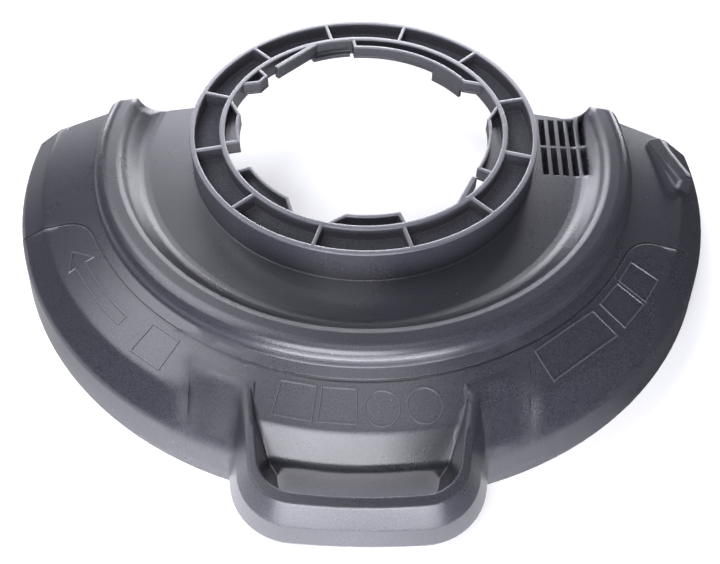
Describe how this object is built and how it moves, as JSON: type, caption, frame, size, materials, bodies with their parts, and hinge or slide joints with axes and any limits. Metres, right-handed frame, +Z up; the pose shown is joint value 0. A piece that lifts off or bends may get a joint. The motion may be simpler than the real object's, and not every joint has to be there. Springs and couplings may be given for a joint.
{
  "type": "trimmer guard",
  "caption": "Fan-shaped plastic guard for a grass trimmer, with a ribbed ring collar, a stepped shell with blind slots and a rim skirt, and a bracket loop at the front.",
  "frame": {"origin": "on the collar's axis, in the plane of the collar's rim", "axes": "+Z up out of the collar, the front loop towards -Y, the slots and the cutter housing on the +X side"},
  "size_m": [0.307, 0.2501, 0.0463],
  "materials": {
    "plastic": "dark grey moulded plastic with a fine spark-eroded grain, a few dust specks and light scratches"
  },
  "bodies": {
    "root": {"guard": "plastic"}
  },
  "joints": []
}
